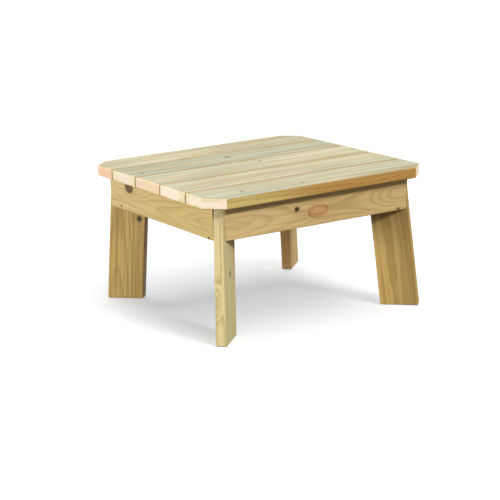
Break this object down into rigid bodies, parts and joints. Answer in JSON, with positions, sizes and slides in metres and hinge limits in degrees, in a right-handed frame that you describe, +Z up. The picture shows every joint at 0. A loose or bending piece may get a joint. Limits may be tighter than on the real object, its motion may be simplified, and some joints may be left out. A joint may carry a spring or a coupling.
{
  "type": "sandbox with cover",
  "caption": "Low square wooden sandbox on splayed plank legs, with a shallow walled sand well closed by a planked lift-off cover with cut corners that serves as a table top.",
  "frame": {"origin": "on the ground under the middle of the sandbox", "axes": "+X along the cover boards, to the right of someone facing the badge; +Y towards the back; +Z up"},
  "size_m": [0.745, 0.737, 0.425],
  "materials": {
    "cover_timber": "planed pressure-treated softwood, pale green-cream, rounded edges",
    "wall_timber": "planed pressure-treated softwood, honey yellow",
    "leg_timber": "planed pressure-treated softwood, tan",
    "inner_timber": "planed pressure-treated softwood battens and boards",
    "floor_plywood": "exterior plywood, sanded",
    "zinc_steel": "zinc-plated steel",
    "badge_copper": "bare copper-coloured plate, satin"
  },
  "bodies": {
    "frame": {"wall_front": "wall_timber", "wall_back": "wall_timber", "wall_left": "wall_timber", "wall_right": "wall_timber", "leg_front_left": "leg_timber", "leg_front_right": "leg_timber", "leg_back_left": "leg_timber", "leg_back_right": "leg_timber", "corner_board_front_left": "inner_timber", "corner_board_front_right": "inner_timber", "corner_board_back_left": "inner_timber", "corner_board_back_right": "inner_timber", "leg_coach_screws": "zinc_steel", "leg_washers": "zinc_steel", "corner_board_screws": "zinc_steel", "ledger_front": "inner_timber", "ledger_back": "inner_timber", "ledger_left": "inner_timber", "ledger_right": "inner_timber", "ledger_screws": "zinc_steel", "floor_panel": "floor_plywood", "floor_screws": "zinc_steel", "badge_plate": "badge_copper", "badge_pins": "badge_copper"},
    "cover": {"cover_board_1": "cover_timber", "cover_board_2": "cover_timber", "cover_board_3": "cover_timber", "cover_board_4": "cover_timber", "cover_board_5": "cover_timber", "cover_batten_left": "inner_timber", "cover_batten_middle": "inner_timber", "cover_batten_right": "inner_timber", "cover_screws": "zinc_steel"}
  },
  "joints": [
    {"name": "cover_lift", "type": "slide", "parent": "frame", "child": "cover", "axis": [0, 0, 1], "range_m": [0, 0.25]}
  ]
}
